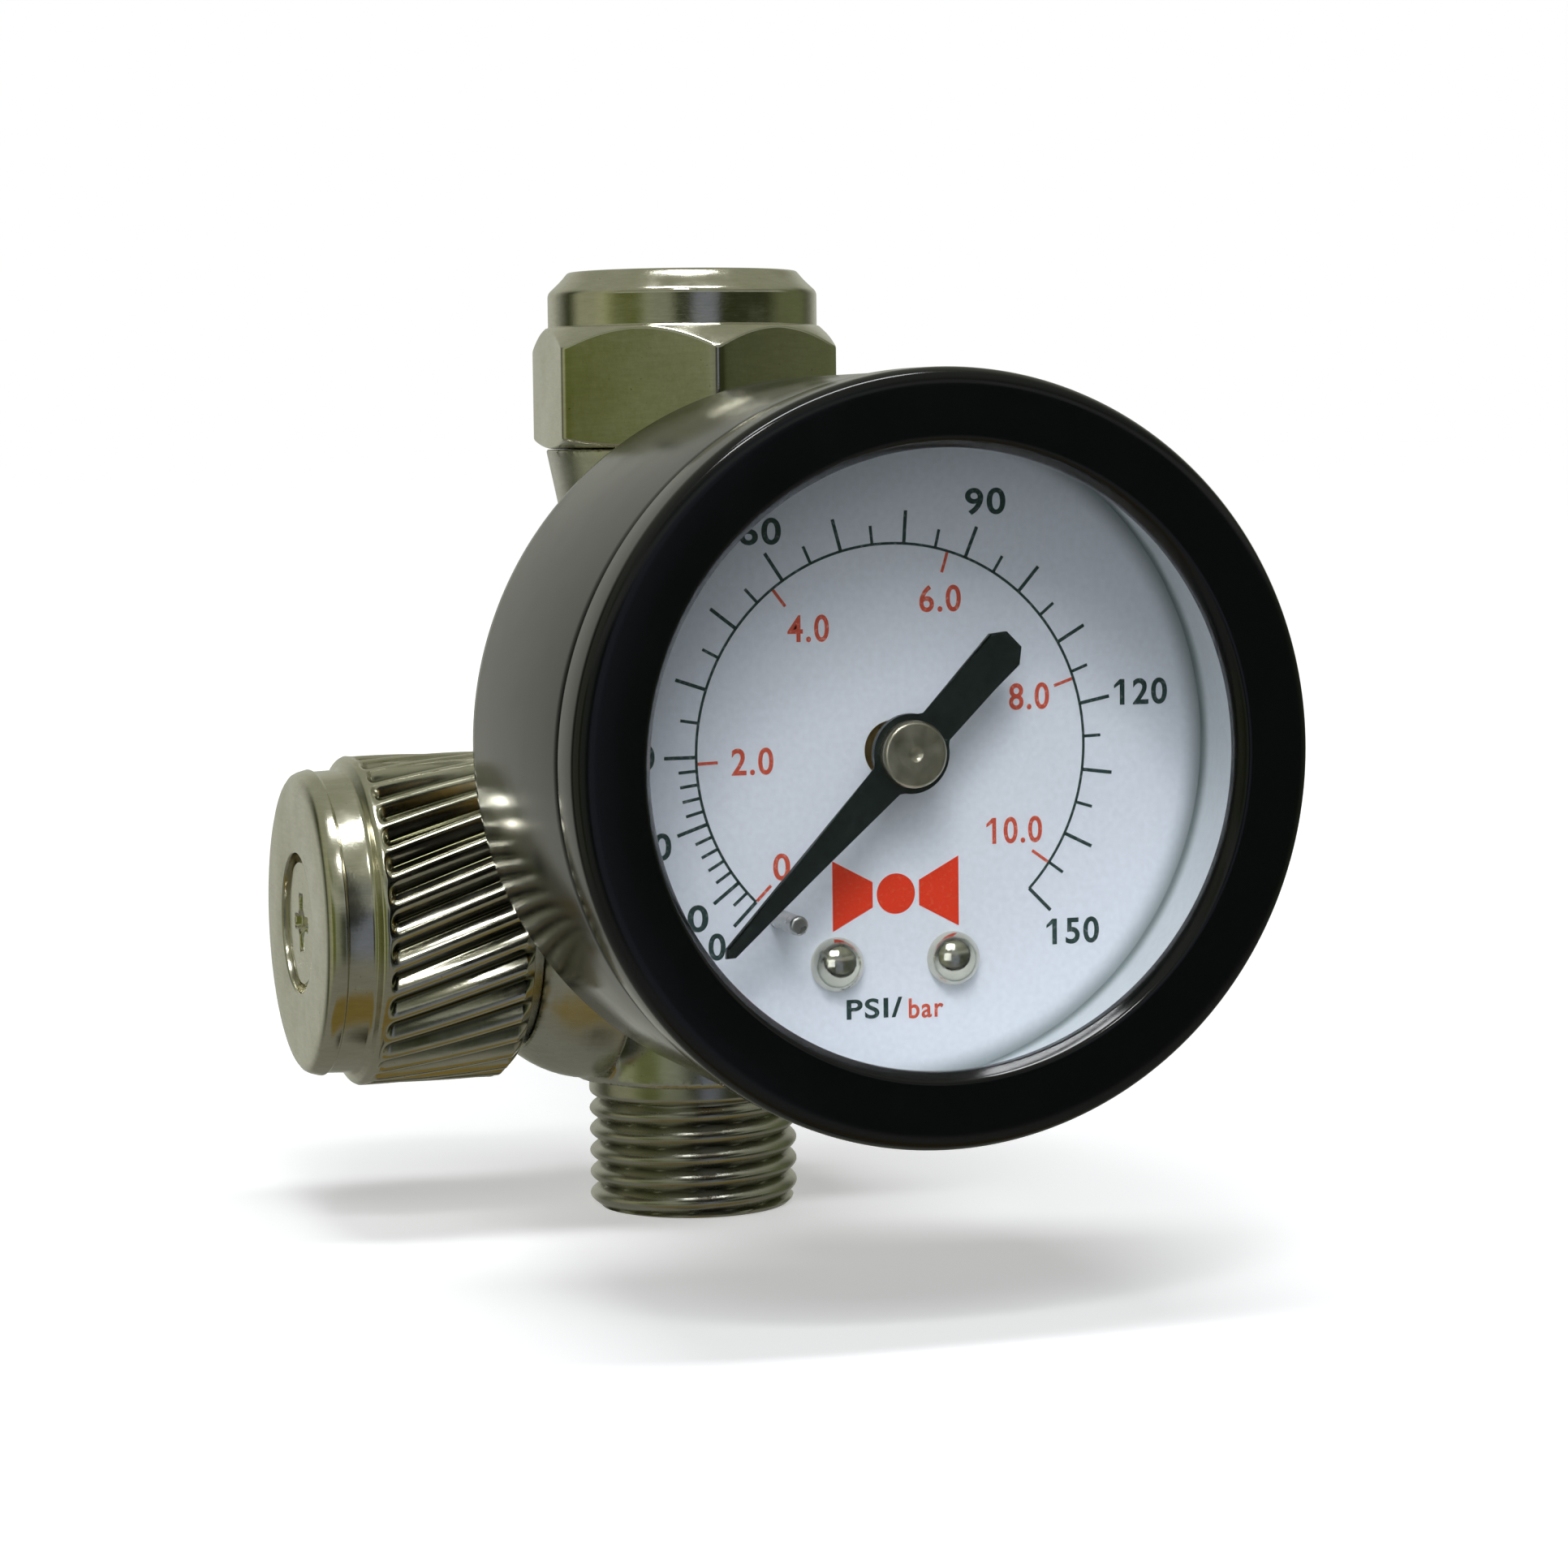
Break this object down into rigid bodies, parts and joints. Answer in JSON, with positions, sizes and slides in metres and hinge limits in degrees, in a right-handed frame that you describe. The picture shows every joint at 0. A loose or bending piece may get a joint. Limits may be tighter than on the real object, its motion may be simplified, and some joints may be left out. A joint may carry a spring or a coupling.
{
  "type": "air pressure regulator",
  "caption": "In-line air pressure regulator: fluted side adjusting knob, front dial gauge, swivel union nut above and male pipe thread below.",
  "frame": {"origin": "centre of the shoulder where the male inlet thread meets the body, on the port axis", "axes": "+Z along the port axis from the inlet thread to the swivel outlet nut; the gauge faces -Y; the adjusting knob points along -X"},
  "size_m": [0.0476, 0.059, 0.0608],
  "materials": {
    "nickel_plate": "bright nickel plating on brass",
    "nickel_body": "satin nickel plating on a brass forging",
    "black_paint": "gloss black stoved enamel on steel",
    "lens": "clear, flat",
    "dial_white": "matt white print ground",
    "white_ring": "matt",
    "pointer_black": "semi-gloss black",
    "hub_metal": "turned, tarnished",
    "brass": "machined",
    "phosphor_bronze": "drawn",
    "steel": "bright",
    "chrome_screw": "polished",
    "rubber": "matt",
    "white_seal": "matt PTFE"
  },
  "bodies": {
    "root": {"valve_body": "nickel_body", "inlet_nipple": "nickel_body", "swivel_tail": "brass", "tail_o_ring": "rubber", "bonnet": "nickel_body", "bonnet_o_ring": "rubber", "range_spring": "steel", "valve_seat": "brass", "poppet_spring": "steel", "end_plug": "nickel_plate", "end_plug_o_ring": "rubber", "gauge_socket": "brass", "socket_seal": "white_seal", "gauge_case": "black_paint", "case_screws": "steel", "vent_plug": "rubber", "gauge_bezel": "black_paint", "gauge_lens": "lens", "lens_gasket": "rubber", "spacer_ring": "white_ring", "dial_plate": "dial_white", "dial_posts": "brass", "dial_screws": "chrome_screw", "stop_pin": "steel", "bourdon_tube": "phosphor_bronze", "movement_back_plate": "brass", "movement_front_plate": "brass", "movement_columns": "brass", "movement_screws": "steel", "hairspring": "phosphor_bronze"},
    "swivel_nut": {"swivel_nut": "nickel_plate"},
    "knob": {"knob": "nickel_plate", "knob_screw": "nickel_plate", "adjusting_spindle": "brass"},
    "spring_seat": {"spring_seat": "brass"},
    "piston": {"piston": "brass", "piston_o_ring": "rubber"},
    "poppet": {"poppet": "brass"},
    "pointer": {"pointer": "pointer_black", "pointer_hub": "hub_metal", "pinion_arbor": "steel"},
    "sector_gear": {"sector_gear": "brass"},
    "tube_tip": {"bourdon_tip": "brass", "link": "brass"}
  },
  "joints": [
    {"name": "nut_swivel", "type": "hinge", "parent": "root", "child": "swivel_nut", "pos_m": [0, 0, 0.045], "axis": [0, 0, 1], "continuous": true},
    {"name": "knob_turn", "type": "hinge", "parent": "root", "child": "knob", "pos_m": [-0.02, 0, 0.0112], "axis": [1, 0, 0], "range_deg": [0, 1440]},
    {"name": "seat_travel", "type": "slide", "parent": "root", "child": "spring_seat", "axis": [1, 0, 0], "range_m": [0, 0.0032], "deforming": ["range_spring"]},
    {"name": "piston_stroke", "type": "slide", "parent": "root", "child": "piston", "axis": [1, 0, 0], "range_m": [0, 0.0006]},
    {"name": "poppet_lift", "type": "slide", "parent": "root", "child": "poppet", "axis": [1, 0, 0], "range_m": [0, 0.0006], "deforming": ["poppet_spring"]},
    {"name": "pointer_turn", "type": "hinge", "parent": "root", "child": "pointer", "pos_m": [0, -0.0415, 0.024], "axis": [0, 1, 0], "range_deg": [0, 270], "deforming": ["hairspring"]},
    {"name": "sector_swing", "type": "hinge", "parent": "root", "child": "sector_gear", "pos_m": [0.012, -0.0336, 0.024], "axis": [0, 1, 0], "range_deg": [-39.07, 0.5]},
    {"name": "tip_travel", "type": "slide", "parent": "root", "child": "tube_tip", "axis": [0, 0, 1], "range_m": [0, 0.00277], "deforming": ["bourdon_tube"]}
  ],
  "couplings": [
    {"joint": "seat_travel", "follows": "knob_turn", "m_per_rad": 0.00012732},
    {"joint": "poppet_lift", "follows": "piston_stroke", "ratio": 1},
    {"joint": "pointer_turn", "follows": "tip_travel", "rad_per_m": 1698.6},
    {"joint": "sector_swing", "follows": "tip_travel", "rad_per_m": -242.65}
  ]
}
